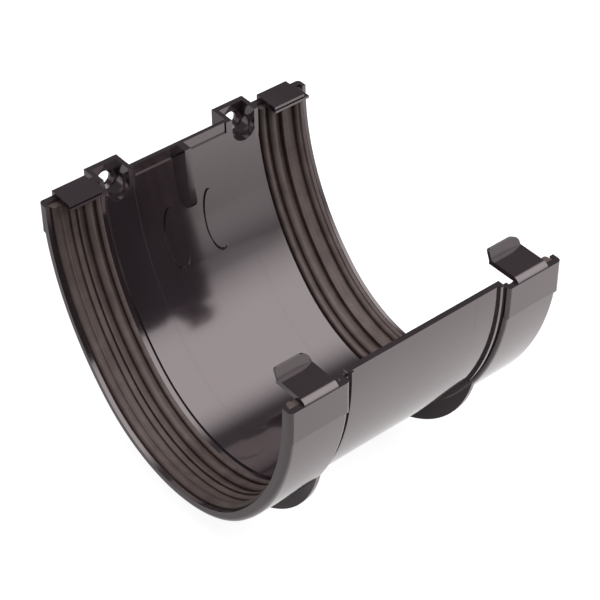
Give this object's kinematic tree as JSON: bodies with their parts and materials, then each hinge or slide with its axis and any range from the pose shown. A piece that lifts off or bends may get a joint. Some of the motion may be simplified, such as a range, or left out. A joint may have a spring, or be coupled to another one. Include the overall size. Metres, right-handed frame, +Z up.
{
  "type": "gutter union",
  "caption": "Moulded union bracket that joins two lengths of deep elliptical gutter, with a ribbed seal in each socket, clips front and back and screw lugs.",
  "frame": {"origin": "middle of the mouth, halfway along the gutter and halfway between its walls, level with the tops of the four clips", "axes": "+X along the gutter to the right seen from the front, +Y back to the fascia board, +Z up"},
  "size_m": [0.111, 0.1375, 0.0973],
  "materials": {
    "body_plastic": "gloss moulded PVC-U, very dark brown",
    "seal_rubber": "matt moulded EPDM, warm dark grey"
  },
  "bodies": {
    "root": {"union_body": "body_plastic", "left_seal": "seal_rubber", "right_seal": "seal_rubber"}
  },
  "joints": []
}
